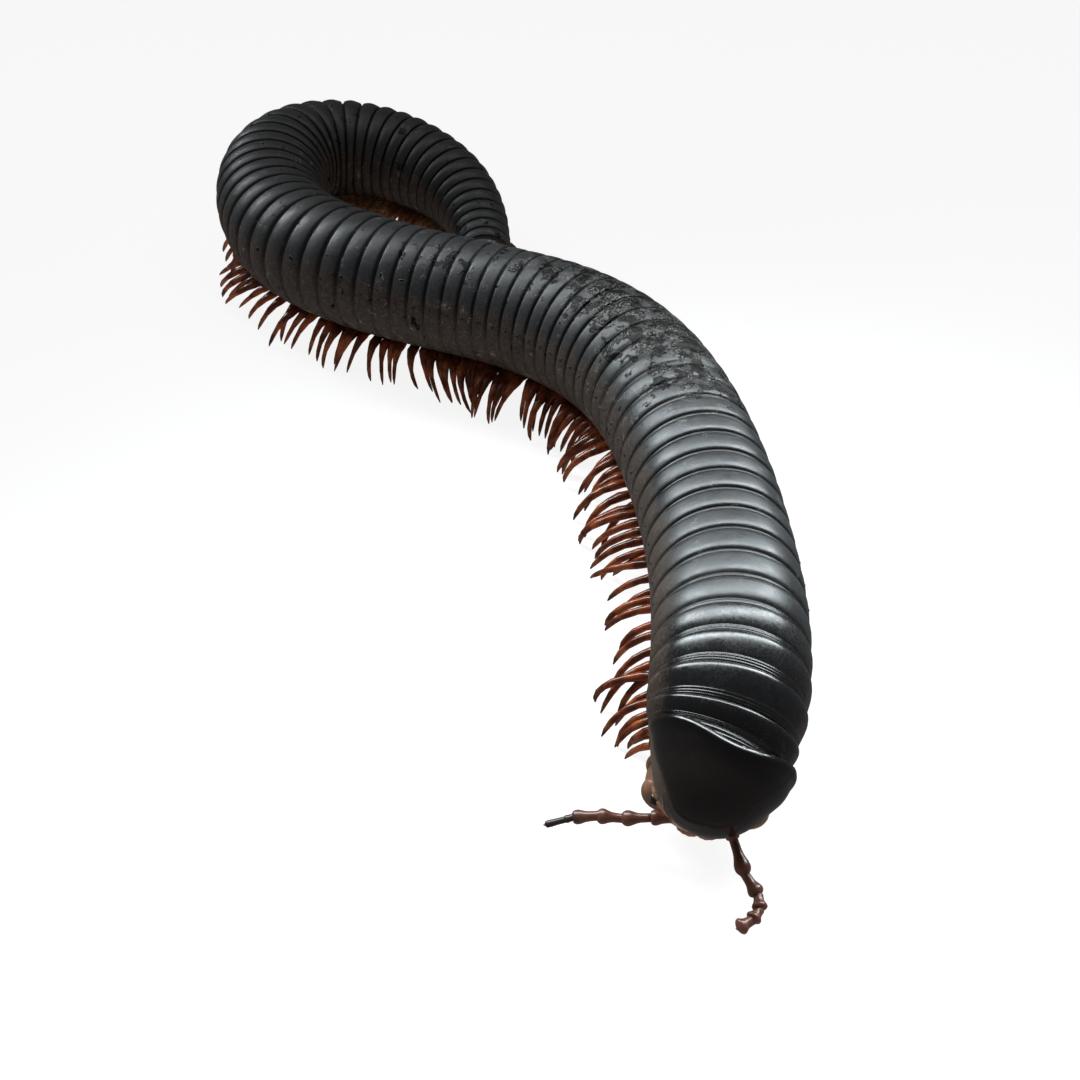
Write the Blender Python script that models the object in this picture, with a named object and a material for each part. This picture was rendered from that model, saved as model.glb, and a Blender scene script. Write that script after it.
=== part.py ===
"""A giant African millipede at life size, curled as it walks: head, collum, legged trunk lengths, telson."""
import math

import bmesh
import bpy
import numpy as np
from mathutils import Matrix, Vector

MM = 0.001  # every length below is in millimetres, and the meshes are written in metres

# ---- how the body lies: one value for every STATION millimetres along its axis, from the collum to the tail
STATION = 18.0
# heading towards the tail, in degrees from +Y towards +X
HEADING = (15, 5, -2, -9, -19, -42, -63, -65, -50, -19, 16, 91, 133, 168, 174)
# radius of the trunk
GIRTH = (9.3, 9.7, 9.7, 9.9, 10.1, 10.1, 9.6, 9.6, 9.6, 9.5, 9.4, 8.5, 7.4, 5.1, 4.0)
# how far the axis runs above its usual height
LIFT = (-0.3, 0.6, 0.0, -0.3, -0.4, -0.2, 0.2, 0.1, 0.3, 0.5, 1.0, 1.0, -0.3, -0.8, -0.9)
# length of one ring
PITCH = (2.4, 4.3, 4.2, 4.2, 3.8, 3.1, 3.0, 3.1, 3.5, 3.5, 3.4, 2.9, 2.8, 2.7, 2.5)
# how far the tips of the legs stand from the midline, on the animal's right and on its left
REACH_RIGHT = (12.5, 15.5, 15.3, 15.3, 14.0, 11.0, 11.8, 9.3, 9.2, 9.2, 9.5, 9.0, 8.5, 7.5, 6.0)
REACH_LEFT = (9.0, 9.8, 10.0, 10.5, 11.5, 12.0, 12.0, 11.5, 11.0, 10.5, 9.5, 9.0, 8.5, 7.0, 6.0)
START = (32.0, -73.9)  # where the axis begins, across and along the floor
NECK_TURN = 8.0  # extra heading at the very front, degrees
NECK_FADE = 7.0
NECK_DIP = 1.1
DIP_FADE = 6.0
NECK_SLIM = 0.9
SLIM_FADE = 5.0
BODY_CLEAR = 4.5  # floor to the round of the trunk

# ---- trunk rings
FIRST_GROOVE = 2.5  # rear margin of the collum, along the axis
LAST_GROOVE = 243.0
TRUNK_SIDES = 16
BELLY = 0.88  # the trunk is flat below this share of its radius
GROOVE_DEPTH = 0.45
RING_PROFILE = ((0.26, 0.02), (0.76, 0.12))  # share of the ring's length, height over the girth
NODE_GAP = 0.3
RINGS_PER_LENGTH = (6, 6, 6, 7, 8, 8, 7, 5, 4, 4, 5, 8)  # the last length takes what is left

# ---- legs
LEG_ROOT_OUT = 0.21  # share of the girth from the midline to the root
LEG_ROOT_SINK = 1.5
LEG_SIDES = 3
LEG_THICK = (0.062, 0.064, 0.056, 0.036)  # radius at root, knee, shin and tip, as a share of the girth
ROOMY = 1.35  # space between the tips of two legs above which they keep their full thickness
CROWDING = 0.28  # share of that space that one leg may swing more than the next
KNEE_OUT = 0.62
KNEE_RISE = 0.59  # share of the girth above the floor
SHIN_OUT = 0.87
SHIN_RISE = 0.38
LEG_PLACES = (0.25, 0.75)  # where the two legs of a side stand along a ring
ONE_PAIR_RINGS = 3
BARE_RINGS = 2
SWING = 1.7
SWING_WAVE = 17.0  # legs in one wave
WAVE_LAG = 3.0  # legs by which the left side lags
BORDER_SWING = 0.4  # share of the swing that the legs beside a trunk length's end keep
STEP_LIFT = 0.9
INNER_SHARE = 0.42  # how near the legs inside a bend come to its centre

# ---- head, in its own frame: forward, right and up from the middle of the collum's rear margin
HEAD_TURN = 15.4  # degrees to the right of -Y
DOME_MIDDLE = (-0.3, -0.65, 0.1)
DOME = (11.1, 8.65, 8.95)
BROW_TILT = 14.0  # slope of the seam between collum and head
BROW_POINT = (8.0, -6.1)
HEAD_ASIDE = 0.5  # the head is held this far to the right of the collum's middle
HEAD_MIDDLE = (2.3, 0.0, -5.2)
HEAD_SIZE = (4.7, 6.3, 5.0)
CHEEK_MIDDLE = (0.0, 5.2, -6.2)
CHEEK_SIZE = (3.8, 2.8, 3.3)
LIP_MIDDLE = (2.2, 0.0, -9.4)
LIP_SIZE = (2.1, 3.5, 1.4)
EYE_MIDDLE = (3.9, 5.4, -5.8)
EYE_SIZE = (0.95, 0.75, 0.75)
SOCKET_EXTRA = 0.3
ANTENNA_ROOT = (5.65, 3.7, -6.7)
ANTENNA_BALL = 0.85
ANTENNA_SIDES = 8
# rounds of an antenna: distance along it, radius, heading in degrees from -Y towards +X, and dip. Each article
# swells towards its far end, and the antenna bends where the next one starts
RIGHT_ANTENNA = ((-0.5, 0.50, -95, 8), (0.1, 0.82, -95, 8), (1.3, 0.58, -95, 8), (3.2, 0.62, -95, 8),
                 (4.5, 0.86, -95, 8), (5.3, 0.60, -93, -6), (6.8, 0.64, -93, -6), (8.0, 0.86, -93, -6),
                 (8.7, 0.60, -87, 2), (9.6, 0.68, -87, 2), (10.6, 0.86, -87, 2), (11.4, 0.52, -76, 8),
                 (12.6, 0.44, -78, 8), (14.4, 0.40, -78, 8))
LEFT_ANTENNA = ((-0.5, 0.50, 16, 22), (0.1, 0.82, 16, 22), (1.3, 0.56, 16, 22), (3.2, 0.60, 16, 22),
                (4.7, 0.84, 16, 22), (5.4, 0.58, 32, 20), (6.4, 0.66, 32, 20), (7.6, 0.86, 32, 20),
                (8.3, 0.62, 2, 12), (9.4, 0.84, 2, 12), (10.1, 0.62, -38, 8), (11.0, 0.86, -38, 8),
                (11.7, 0.66, -59, 4), (12.5, 0.84, -59, 4), (13.2, 0.46, -59, 4))

# ---- tail
TAIL_DOME = ((1.3, 0.97), (2.7, 0.84), (4.0, 0.62), (4.9, 0.34))  # past the last groove, share of its girth
VALVE_SIZE = (2.2, 1.5, 2.6)
VALVE_MIDDLE = (3.3, 1.25, -1.5)


def clear_scene():
    for old in list(bpy.data.objects):
        bpy.data.objects.remove(old, do_unlink=True)


def material(name, color, roughness):
    made = bpy.data.materials.new(name)
    made.use_nodes = True
    shader = made.node_tree.nodes["Principled BSDF"]
    shader.inputs["Base Color"].default_value = (*color, 1.0)
    shader.inputs["Roughness"].default_value = roughness
    return made


def natural_spline(values):
    """A smooth curve through one value for each station, read at any distance along the body."""
    count = len(values)
    values = np.array(values, float)
    matrix = np.eye(count)
    right = np.zeros(count)
    for i in range(1, count - 1):
        matrix[i, i - 1:i + 2] = (1.0, 4.0, 1.0)
        right[i] = 6.0 * (values[i - 1] - 2.0 * values[i] + values[i + 1])
    bend = np.linalg.solve(matrix, right)

    def read(s):
        t = np.asarray(s, float) / STATION
        i = np.clip(np.floor(t).astype(int), 0, count - 2)
        b = t - i
        a = 1.0 - b
        return a * values[i] + b * values[i + 1] + ((a**3 - a) * bend[i] + (b**3 - b) * bend[i + 1]) / 6.0

    return read


heading_of = natural_spline(HEADING)
girth_of = natural_spline(GIRTH)
lift_of = natural_spline(LIFT)
pitch_of = natural_spline(PITCH)
reach_of = {1: natural_spline(REACH_RIGHT), -1: natural_spline(REACH_LEFT)}  # by side


def girth(s):
    return float(girth_of(s) - NECK_SLIM * np.exp(-((s / SLIM_FADE) ** 2)))


def walk_axis():
    """Distance, point and direction at every half millimetre of the axis."""
    step = 0.5
    s = np.arange(0.0, STATION * (len(HEADING) - 1) + step / 2, step)
    turn = np.radians(heading_of(s) + NECK_TURN * np.exp(-((s / NECK_FADE) ** 2)))
    slim = NECK_SLIM * np.exp(-((s / SLIM_FADE) ** 2))
    height = girth_of(s) - slim + BODY_CLEAR + lift_of(s) - NECK_DIP * np.exp(-((s / DIP_FADE) ** 2))
    rise = np.gradient(height, s)
    flat = np.sqrt(1.0 - rise**2)
    east = np.sin(turn) * flat
    north = np.cos(turn) * flat
    x = START[0] + np.concatenate([[0.0], np.cumsum((east[1:] + east[:-1]) / 2 * step)])
    y = START[1] + np.concatenate([[0.0], np.cumsum((north[1:] + north[:-1]) / 2 * step)])
    return s, np.column_stack([x, y, height]), np.column_stack([east, north, rise])


AXIS_S, AXIS_P, AXIS_T = walk_axis()


def frame_at(s):
    """Point, tailward direction, the animal's right and up at a distance along the axis."""
    point = np.array([np.interp(s, AXIS_S, AXIS_P[:, k]) for k in range(3)])
    tail = np.array([np.interp(s, AXIS_S, AXIS_T[:, k]) for k in range(3)])
    tail /= np.linalg.norm(tail)
    right = np.cross((0.0, 0.0, 1.0), tail)
    right /= np.linalg.norm(right)
    up = np.cross(tail, right)
    return point, tail, right, up


def mesh_object(name, points, faces):
    mesh = bpy.data.meshes.new(name)
    mesh.from_pydata([tuple(np.array(p) * MM) for p in points], [], faces)
    obj = bpy.data.objects.new(name, mesh)
    bpy.context.scene.collection.objects.link(obj)
    work = bmesh.new()
    work.from_mesh(mesh)
    bmesh.ops.recalc_face_normals(work, faces=work.faces)
    work.to_mesh(mesh)
    work.free()
    return obj


def loft(name, loops):
    """One closed skin over loops of points, with a flat cap at each end."""
    sides = len(loops[0])
    points = [p for loop in loops for p in loop]
    faces = [tuple(range(sides)), tuple((len(loops) - 1) * sides + j for j in range(sides))]
    for i in range(len(loops) - 1):
        for j in range(sides):
            k = (j + 1) % sides
            faces.append((i * sides + j, i * sides + k, (i + 1) * sides + k, (i + 1) * sides + j))
    return mesh_object(name, points, faces)


def trunk_loop(s, radius, shift=0.0):
    point, tail, right, up = frame_at(s)
    loop = []
    for j in range(TRUNK_SIDES):
        angle = 2.0 * math.pi * (j + 0.5) / TRUNK_SIDES
        height = max(math.sin(angle), -BELLY) * radius
        loop.append(point + tail * shift + right * math.cos(angle) * radius + up * height)
    return loop


def grooves():
    """Where each ring begins, from the collum's rear margin to the telson."""
    found = [FIRST_GROOVE]
    while found[-1] + float(pitch_of(found[-1])) < LAST_GROOVE:
        found.append(found[-1] + float(pitch_of(found[-1])))
    return found


def leg_room(s, side):
    """How far a leg on this side reaches, less inside a bend, and the space left between two tips."""
    turn = math.radians(float(heading_of(s + 2.0) - heading_of(s - 2.0))) / 4.0
    closing = max(-turn * side, 1e-6)
    reach = min(float(reach_of[side](s)), INNER_SHARE / closing)
    return reach, float(pitch_of(s)) / 2.0 * (1.0 - closing * reach)


def leg(name, s, side, count, swing_share):
    """One leg: root inside the belly, knee out beside the flank, tip flat on the floor."""
    point, tail, right, up = frame_at(s)
    size = girth(s)
    floor = np.array([0.0, 0.0, 1.0])
    out = right * side
    along = np.array([tail[0], tail[1], 0.0])
    along /= np.linalg.norm(along)
    reach, space = leg_room(s, side)
    phase = 2.0 * math.pi * count / SWING_WAVE
    swing = min(SWING, CROWDING * space * SWING_WAVE / (2.0 * math.pi)) * math.sin(phase) * swing_share
    stout = size * min(1.0, space / ROOMY)
    lift = STEP_LIFT * max(0.0, math.cos(phase)) ** 2
    belly = point - up * BELLY * size
    ground = belly * (1.0, 1.0, 0.0)
    root = belly + out * LEG_ROOT_OUT * size + up * LEG_ROOT_SINK
    knee = ground + out * KNEE_OUT * reach + along * swing * 0.5 + floor * (KNEE_RISE * size + lift * 0.5)
    shin = ground + out * SHIN_OUT * reach + along * swing * 0.9 + floor * (SHIN_RISE * size + lift)
    tip = ground + out * reach + along * swing + floor * lift
    stops = (root, knee, shin, tip)
    runs = (knee - root, shin - root, tip - knee, -floor)
    loops = []
    for stop, run, share in zip(stops, runs, LEG_THICK):
        run = run / np.linalg.norm(run)
        wide = np.cross(floor, out)
        deep = np.cross(run, wide) if stop is not tip else out
        loop = []
        for j in range(LEG_SIDES):
            angle = 2.0 * math.pi * (j + 0.25) / LEG_SIDES
            loop.append(stop + (wide * math.cos(angle) + deep * math.sin(angle)) * share * stout)
        loops.append(loop)
    return loft(name, loops)


def keep_largest(obj):
    """Keeps the largest closed surface of a mesh."""
    work = bmesh.new()
    work.from_mesh(obj.data)
    work.faces.ensure_lookup_table()
    seen = set()
    groups = []
    for face in work.faces:
        if face in seen:
            continue
        group = {face}
        stack = [face]
        while stack:
            for edge in stack.pop().edges:
                for near in edge.link_faces:
                    if near not in group:
                        group.add(near)
                        stack.append(near)
        seen |= group
        groups.append(group)
    groups.sort(key=lambda g: sum(f.calc_area() for f in g), reverse=True)
    loose = {f for g in groups[1:] for f in g}
    bmesh.ops.delete(work, geom=list(loose), context="FACES")
    work.to_mesh(obj.data)
    work.free()


def apply_boolean(obj, tools, operation):
    """One Boolean of the object with a collection of closed meshes, applied, and the tools removed."""
    group = bpy.data.collections.new(obj.name + "_tools")
    for tool in tools:
        group.objects.link(tool)
    cut = obj.modifiers.new("join", "BOOLEAN")
    cut.operation = operation
    cut.operand_type = "COLLECTION"
    cut.collection = group
    cut.solver = "EXACT"
    bpy.context.view_layer.update()
    graph = bpy.context.evaluated_depsgraph_get()
    made = bpy.data.meshes.new_from_object(obj.evaluated_get(graph))
    obj.modifiers.clear()
    obj.data = made
    for tool in tools:
        bpy.data.objects.remove(tool, do_unlink=True)
    bpy.data.collections.remove(group)
    keep_largest(obj)


def trunk_length(name, starts, first_ring, last_ring, leg_count):
    """A run of rings as one solid, with the legs that grow from it."""
    loops = []
    for ring in range(first_ring, last_ring):
        here = starts[ring]
        span = starts[ring + 1] - here
        shift = NODE_GAP / 2 if ring == first_ring else 0.0
        loops.append(trunk_loop(here, girth(here) - GROOVE_DEPTH, shift))
        for share, height in RING_PROFILE:
            s = here + share * span
            loops.append(trunk_loop(s, girth(s) + height))
    end = starts[last_ring]
    loops.append(trunk_loop(end, girth(end) - GROOVE_DEPTH, -NODE_GAP / 2))
    trunk = loft(name, loops)
    legs = []
    for ring in range(first_ring, last_ring):
        if ring >= len(starts) - 1 - BARE_RINGS:
            continue
        span = starts[ring + 1] - starts[ring]
        places = (0.5,) if ring < ONE_PAIR_RINGS else LEG_PLACES
        for place in places:
            s = starts[ring] + place * span
            beside_end = ring == first_ring and place < 0.5 or ring == last_ring - 1 and place > 0.5
            share = BORDER_SWING if beside_end else 1.0
            for side, lag in ((1, 0.0), (-1, WAVE_LAG)):
                legs.append(leg(f"leg_{ring}_{place}_{side}", s, side, leg_count[0] + lag, share))
            leg_count[0] += 1
    if legs:
        apply_boolean(trunk, legs, "UNION")
    return trunk


def head_frame():
    point = frame_at(FIRST_GROOVE)[0]
    turn = math.radians(HEAD_TURN)
    forward = np.array([-math.sin(turn), -math.cos(turn), 0.0])
    right = np.array([-math.cos(turn), math.sin(turn), 0.0])
    return point, forward, right


def head_place(forward, right, up):
    point, ahead, aside = head_frame()
    return point + ahead * forward + aside * right + np.array([0.0, 0.0, up])


def on_side(place, side):
    """A place of the head on its right (1) or left (-1) side."""
    return place[0], HEAD_ASIDE + place[1] * side, place[2]


def head_matrix(middle, size):
    point, ahead, aside = head_frame()
    at = head_place(*middle)
    axes = Matrix((ahead * size[0], -aside * size[1], (0.0, 0.0, size[2]))).transposed().to_4x4()
    return Matrix.Translation(Vector(at)) @ axes


def ball(name, matrix, segments, rings):
    """A unit sphere stretched and placed by a matrix in millimetres, written in place."""
    work = bmesh.new()
    bmesh.ops.create_uvsphere(work, u_segments=segments, v_segments=rings, radius=1.0)
    bmesh.ops.transform(work, matrix=Matrix.Scale(MM, 4) @ matrix, verts=work.verts)
    bmesh.ops.recalc_face_normals(work, faces=work.faces)
    mesh = bpy.data.meshes.new(name)
    work.to_mesh(mesh)
    work.free()
    obj = bpy.data.objects.new(name, mesh)
    bpy.context.scene.collection.objects.link(obj)
    return obj


def ellipsoid(name, middle, size, segments=16, rings=10):
    return ball(name, head_matrix(middle, size), segments, rings)


def slice_off(obj, point, normal):
    """Cuts the solid by a plane, drops the side that the normal points to, and closes the cut."""
    work = bmesh.new()
    work.from_mesh(obj.data)
    geom = work.verts[:] + work.edges[:] + work.faces[:]
    cut = bmesh.ops.bisect_plane(work, geom=geom, plane_co=Vector(point) * MM, plane_no=Vector(normal),
                                 dist=1e-8, clear_outer=True)
    rim = [e for e in cut["geom_cut"] if isinstance(e, bmesh.types.BMEdge)]
    bmesh.ops.contextual_create(work, geom=rim)
    bmesh.ops.recalc_face_normals(work, faces=work.faces)
    work.to_mesh(obj.data)
    work.free()


def brow_plane(offset):
    """The seam between collum and head: its point and the direction towards the collum."""
    point, ahead, aside = head_frame()
    tilt = math.radians(BROW_TILT)
    normal = ahead * math.sin(tilt) + np.array([0.0, 0.0, math.cos(tilt)])
    return head_place(BROW_POINT[0], 0.0, BROW_POINT[1]) + normal * offset, normal


def build_head():
    neck, tail = frame_at(FIRST_GROOVE)[:2]
    collum = ellipsoid("collum", DOME_MIDDLE, DOME, 28, 16)
    slice_off(collum, neck - tail * NODE_GAP / 2, tail)
    seam, normal = brow_plane(NODE_GAP / 2)
    slice_off(collum, seam, -normal)
    head = ellipsoid("head", on_side(HEAD_MIDDLE, 1), HEAD_SIZE, 16, 10)
    parts = [ellipsoid("cheek", on_side(CHEEK_MIDDLE, side), CHEEK_SIZE, 10, 6) for side in (1, -1)]
    parts.append(ellipsoid("lip", on_side(LIP_MIDDLE, 1), LIP_SIZE, 10, 6))
    apply_boolean(head, parts, "UNION")
    sockets = []
    for side in (1, -1):
        wide = tuple(v + SOCKET_EXTRA for v in EYE_SIZE)
        sockets.append(ellipsoid("socket", on_side(EYE_MIDDLE, side), wide, 10, 6))
        round_hole = (ANTENNA_BALL + SOCKET_EXTRA,) * 3
        sockets.append(ellipsoid("socket", on_side(ANTENNA_ROOT, side), round_hole, 10, 6))
    apply_boolean(head, sockets, "DIFFERENCE")
    slice_off(head, neck - tail * NODE_GAP / 2, tail)
    seam, normal = brow_plane(-NODE_GAP / 2)
    slice_off(head, seam, normal)
    keep_largest(head)
    for side, name in ((1, "eye_right"), (-1, "eye_left")):
        eye = ellipsoid(name, on_side(EYE_MIDDLE, side), EYE_SIZE, 10, 6)
        slice_off(eye, seam, normal)
    return collum, head


def antenna(name, side, rounds):
    """A string of articles swollen towards their far ends, bent at the joints by the given turns."""
    centre = head_place(*on_side(ANTENNA_ROOT, side))
    loops = []
    before = 0.0
    for at, radius, turn, dip in rounds:
        a = math.radians(turn)
        d = math.radians(dip)
        run = np.array([math.sin(a) * math.cos(d), -math.cos(a) * math.cos(d), -math.sin(d)])
        centre = centre + run * (at - before)
        before = at
        wide = np.cross(run, (0.0, 0.0, 1.0))
        wide /= np.linalg.norm(wide)
        high = np.cross(wide, run)
        loop = []
        for j in range(ANTENNA_SIDES):
            angle = 2.0 * math.pi * j / ANTENNA_SIDES
            loop.append(centre + (wide * math.cos(angle) + high * math.sin(angle)) * radius)
        loops.append(loop)
    return loft(name, loops)


def telson(name, s):
    """The end of the body: a blunt dome over two closed valves."""
    size = girth(s)
    loops = [trunk_loop(s, size - GROOVE_DEPTH, NODE_GAP / 2)]
    for past, share in TAIL_DOME:
        loops.append(trunk_loop(s, size * share, past))
    dome = loft(name, loops)
    point, tail, right, up = frame_at(s)
    valves = []
    for side in (1, -1):
        at = point + tail * VALVE_MIDDLE[0] + right * VALVE_MIDDLE[1] * side + up * VALVE_MIDDLE[2]
        axes = Matrix((tail * VALVE_SIZE[0], right * VALVE_SIZE[1], up * VALVE_SIZE[2])).transposed()
        valves.append(ball("valve", Matrix.Translation(Vector(at)) @ axes.to_4x4(), 10, 6))
    apply_boolean(dome, valves, "UNION")
    return dome


def main():
    clear_scene()
    shell = material("black_shell", (0.035, 0.032, 0.032), 0.3)
    gloss = material("collum_shell", (0.022, 0.02, 0.02), 0.15)
    brown = material("head_brown", (0.12, 0.055, 0.03), 0.35)
    feeler = material("antenna_brown", (0.14, 0.055, 0.035), 0.35)
    dark = material("eye_dark", (0.01, 0.01, 0.01), 0.2)
    starts = grooves()
    lengths = []
    leg_count = [0]
    ring = 0
    for number, rings in enumerate(RINGS_PER_LENGTH, 1):
        last = len(starts) - 1 if number == len(RINGS_PER_LENGTH) else ring + rings
        lengths.append(trunk_length(f"trunk_{number:02d}", starts, ring, last, leg_count))
        ring = last
    tail = telson("telson", starts[-1])
    collum, head = build_head()
    right = antenna("antenna_right", 1, RIGHT_ANTENNA)
    left = antenna("antenna_left", -1, LEFT_ANTENNA)
    for obj in lengths + [tail]:
        obj.data.materials.clear()
        obj.data.materials.append(shell)
    for obj, mat in ((collum, gloss), (head, brown), (left, feeler), (right, feeler)):
        obj.data.materials.clear()
        obj.data.materials.append(mat)
    for name in ("eye_left", "eye_right"):
        bpy.data.objects[name].data.materials.append(dark)


main()
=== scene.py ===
import math
import random

import bmesh
import bpy
import numpy as np
from mathutils import Matrix, Vector


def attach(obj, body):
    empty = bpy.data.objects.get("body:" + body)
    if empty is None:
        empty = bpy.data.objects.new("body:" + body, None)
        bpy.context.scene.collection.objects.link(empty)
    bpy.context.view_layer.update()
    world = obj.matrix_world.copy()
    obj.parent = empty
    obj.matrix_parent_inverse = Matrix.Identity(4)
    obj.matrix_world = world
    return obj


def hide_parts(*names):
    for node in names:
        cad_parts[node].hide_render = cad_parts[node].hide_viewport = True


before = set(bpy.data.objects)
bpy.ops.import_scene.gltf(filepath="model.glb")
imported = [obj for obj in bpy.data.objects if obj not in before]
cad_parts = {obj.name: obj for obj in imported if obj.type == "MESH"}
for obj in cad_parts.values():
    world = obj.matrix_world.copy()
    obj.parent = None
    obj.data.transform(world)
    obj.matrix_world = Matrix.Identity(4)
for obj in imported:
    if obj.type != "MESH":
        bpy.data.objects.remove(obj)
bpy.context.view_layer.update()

# ---- The camera. It stands at the animal's head end, 142 mm above the ground,
# and looks down along the body at forty degrees through a normal lens.
CAMERA_PLACE, LOOKS_DOWN = (0.0125, -0.189, 0.1424), 40.0
lens = bpy.data.cameras.new("camera")
lens.lens = 50.0
lens.sensor_width = 36.0
lens.clip_start = 0.005
camera = bpy.data.objects.new("camera", lens)
camera.location = CAMERA_PLACE
camera.rotation_euler = (math.radians(90.0 - LOOKS_DOWN), 0.0, 0.0)
bpy.context.scene.collection.objects.link(camera)
bpy.context.scene.camera = camera

# ---- The trunk. Seventy-odd rings of black calcified cuticle, each a closed hoop whose smooth rear half
# overhangs the narrower front of the next. The rear edge is rolled, the front carries fine folds, and the
# lower flank is plain and matt. The rings hold each other by a soft membrane deep in the grooves.
MM = 0.001
# every STATION mm along the axis: heading in degrees, radius, lift over the common height, length of a ring
STATION = 18.0
HEADING = (15, 5, -2, -9, -19, -42, -63, -65, -50, -19, 16, 91, 133, 168, 174)
GIRTH = (9.3, 9.7, 9.7, 9.9, 10.1, 10.1, 9.6, 9.6, 9.6, 9.5, 9.4, 8.5, 7.4, 5.1, 4.0)
LIFT = (-0.3, 0.6, 0.0, -0.3, -0.4, -0.2, 0.2, 0.1, 0.3, 0.5, 1.0, 1.0, -0.3, -0.8, -0.9)
PITCH = (2.4, 4.3, 4.2, 4.2, 3.8, 3.1, 3.0, 3.1, 3.5, 3.5, 3.4, 2.9, 2.8, 2.7, 2.5)
START = (32.0, -73.9)  # of the axis, under the collum
NECK_TURN, NECK_FADE = 8.0, 7.0  # the neck turns, dips and narrows, which fades out within so many mm
NECK_DIP, DIP_FADE = 1.1, 6.0
NECK_SLIM, SLIM_FADE = 0.9, 5.0
BODY_CLEAR = 4.5  # room below the full round
FIRST_GROOVE, LAST_GROOVE = 2.5, 243.0
RINGS_PER_LENGTH = (6, 6, 6, 7, 8, 8, 7, 5, 4, 4, 5, 8)
BELLY = 0.88  # of the radius, where the underside is flat
BARE_RINGS = 2  # the last rings, which carry no legs
ROUND_SIDES = 64


def natural_spline(values):
    """A smooth curve through one value for each station, read at any distance along the body."""
    count = len(values)
    values = np.array(values, float)
    matrix = np.eye(count)
    right = np.zeros(count)
    for i in range(1, count - 1):
        matrix[i, i - 1:i + 2] = (1.0, 4.0, 1.0)
        right[i] = 6.0 * (values[i - 1] - 2.0 * values[i] + values[i + 1])
    bend = np.linalg.solve(matrix, right)

    def read(s):
        t = np.asarray(s, float) / STATION
        i = np.clip(np.floor(t).astype(int), 0, count - 2)
        b = t - i
        a = 1.0 - b
        return a * values[i] + b * values[i + 1] + ((a**3 - a) * bend[i] + (b**3 - b) * bend[i + 1]) / 6.0

    return read


heading_of = natural_spline(HEADING)
girth_of = natural_spline(GIRTH)
lift_of = natural_spline(LIFT)
pitch_of = natural_spline(PITCH)


def girth(s):
    """The body's radius, over which the heights of a ring are counted, in millimetres."""
    return float(girth_of(s) - NECK_SLIM * np.exp(-((s / SLIM_FADE) ** 2)))


def walk_axis():
    """Distance, point and direction at every half millimetre of the body's axis."""
    step = 0.5
    s = np.arange(0.0, STATION * (len(HEADING) - 1) + step / 2, step)
    turn = np.radians(heading_of(s) + NECK_TURN * np.exp(-((s / NECK_FADE) ** 2)))
    slim = NECK_SLIM * np.exp(-((s / SLIM_FADE) ** 2))
    height = girth_of(s) - slim + BODY_CLEAR + lift_of(s) - NECK_DIP * np.exp(-((s / DIP_FADE) ** 2))
    rise = np.gradient(height, s)
    flat = np.sqrt(1.0 - rise**2)
    east = np.sin(turn) * flat
    north = np.cos(turn) * flat
    x = START[0] + np.concatenate([[0.0], np.cumsum((east[1:] + east[:-1]) / 2 * step)])
    y = START[1] + np.concatenate([[0.0], np.cumsum((north[1:] + north[:-1]) / 2 * step)])
    return s, np.column_stack([x, y, height]), np.column_stack([east, north, rise])


AXIS_S, AXIS_P, AXIS_T = walk_axis()
HIGH = Vector((0.0, 0.0, 1.0))


def frame_at(s):
    """Point, tailward direction, the animal's right and up at a distance along the axis, in millimetres."""
    point = Vector([np.interp(s, AXIS_S, AXIS_P[:, k]) for k in range(3)])
    tail = Vector([np.interp(s, AXIS_S, AXIS_T[:, k]) for k in range(3)]).normalized()
    right = HIGH.cross(tail).normalized()
    return point, tail, right, tail.cross(right)


def grooves():
    """Where each ring begins, from the collum's rear margin to the telson."""
    found = [FIRST_GROOVE]
    while found[-1] + float(pitch_of(found[-1])) < LAST_GROOVE:
        found.append(found[-1] + float(pitch_of(found[-1])))
    return found


def new_work():
    """An empty mesh under construction with the marks that the shell's finish reads."""
    work = bmesh.new()
    for mark in ("around", "along", "satin", "scuff"):
        work.verts.layers.float.new(mark)
    return work


def axes_matrix(across, level, along):
    """The turn and stretch that lay a shape's own axes along three directions."""
    return Matrix((across, level, along)).transposed().to_4x4()


def edges_of(verts):
    return list({edge for vert in verts for edge in vert.link_edges})


def close_tube(work, rounds):
    """Skins between each round of edges and the next, and closes both ends."""
    for before, after in zip(rounds, rounds[1:]):
        bmesh.ops.bridge_loops(work, edges=before + after)
    for end in (rounds[0], rounds[-1]):
        bmesh.ops.contextual_create(work, geom=end)


def finished(work, name, *materials):
    """Writes the mesh as a smooth object at the origin, faces outwards."""
    bmesh.ops.recalc_face_normals(work, faces=work.faces)
    mesh = bpy.data.meshes.new(name)
    work.to_mesh(mesh)
    work.free()
    mesh.shade_smooth()
    obj = bpy.data.objects.new(name, mesh)
    bpy.context.scene.collection.objects.link(obj)
    for made in materials:
        mesh.materials.append(made)
    return obj


def smooth_step(low, high, value):
    """Rises smoothly from 0 at the first place to 1 at the second, whichever way round they lie."""
    t = min(1.0, max(0.0, (value - low) / (high - low)))
    return t * t * (3.0 - 2.0 * t)


def ridge(value, height, at, width):
    """A smooth ridge across a value, or a groove where the height is below nought."""
    return height * math.exp(-(((value - at) / width) ** 2))


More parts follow.
